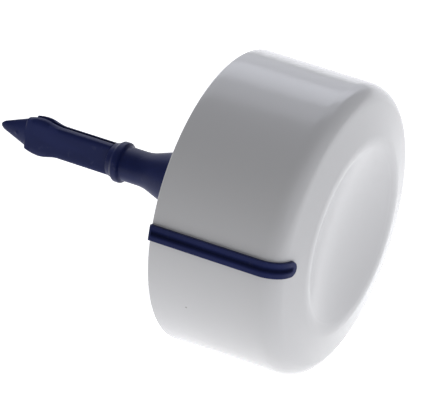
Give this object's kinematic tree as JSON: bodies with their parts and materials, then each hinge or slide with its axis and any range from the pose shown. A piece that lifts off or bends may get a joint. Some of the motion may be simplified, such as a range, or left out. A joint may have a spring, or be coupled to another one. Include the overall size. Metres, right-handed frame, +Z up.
{
  "type": "appliance control knob",
  "caption": "Round hollow control knob with a dished face, a raised pointer bar over its side and edge, and a slender split stem that snaps into a hollow spindle.",
  "frame": {"origin": "on the knob's axis, in the plane of the cap's back rim, where the appliance's spindle comes through its panel", "axes": "+X along the knob's axis from the stem to the face, +Z up with the knob lying on its side; the pointer bar lies 71.5 degrees from +Z towards -Y"},
  "size_m": [0.0679, 0.05, 0.05],
  "materials": {
    "cap_white": "polished white moulding",
    "stem_blue": "satin dark blue moulding",
    "spring_steel": "drawn spring wire"
  },
  "bodies": {
    "knob": {"cap_shell": "cap_white", "pointer_bar": "stem_blue", "hub_carrier": "stem_blue", "stem_shaft": "stem_blue", "retaining_clip": "spring_steel"},
    "near_leg": {"snap_leg_near": "stem_blue"},
    "far_leg": {"snap_leg_far": "stem_blue"},
    "hook_1": {"hub_hook_1": "stem_blue"},
    "hook_2": {"hub_hook_2": "stem_blue"},
    "hook_3": {"hub_hook_3": "stem_blue"}
  },
  "joints": [
    {"name": "near_leg_flex", "type": "hinge", "parent": "knob", "child": "near_leg", "pos_m": [-0.0214, -0.00085, 0.00029], "axis": [0, -0.3173, -0.9483], "range_deg": [0, 1.2], "stiffness_Nm_per_rad": 0.2},
    {"name": "far_leg_flex", "type": "hinge", "parent": "knob", "child": "far_leg", "pos_m": [-0.0214, 0.00085, -0.00029], "axis": [0, 0.3173, 0.9483], "range_deg": [0, 1.2], "stiffness_Nm_per_rad": 0.2},
    {"name": "hook_1_flex", "type": "hinge", "parent": "knob", "child": "hook_1", "pos_m": [0.0091, -0.01532, -0.01355], "axis": [0, -0.6626, 0.749], "range_deg": [0, 6], "stiffness_Nm_per_rad": 0.87},
    {"name": "hook_2_flex", "type": "hinge", "parent": "knob", "child": "hook_2", "pos_m": [0.0091, 0.01939, -0.00649], "axis": [0, -0.3173, -0.9483], "range_deg": [0, 6], "stiffness_Nm_per_rad": 0.87},
    {"name": "hook_3_flex", "type": "hinge", "parent": "knob", "child": "hook_3", "pos_m": [0.0091, -0.00408, 0.02004], "axis": [0, 0.9799, 0.1994], "range_deg": [0, 6], "stiffness_Nm_per_rad": 0.87}
  ]
}
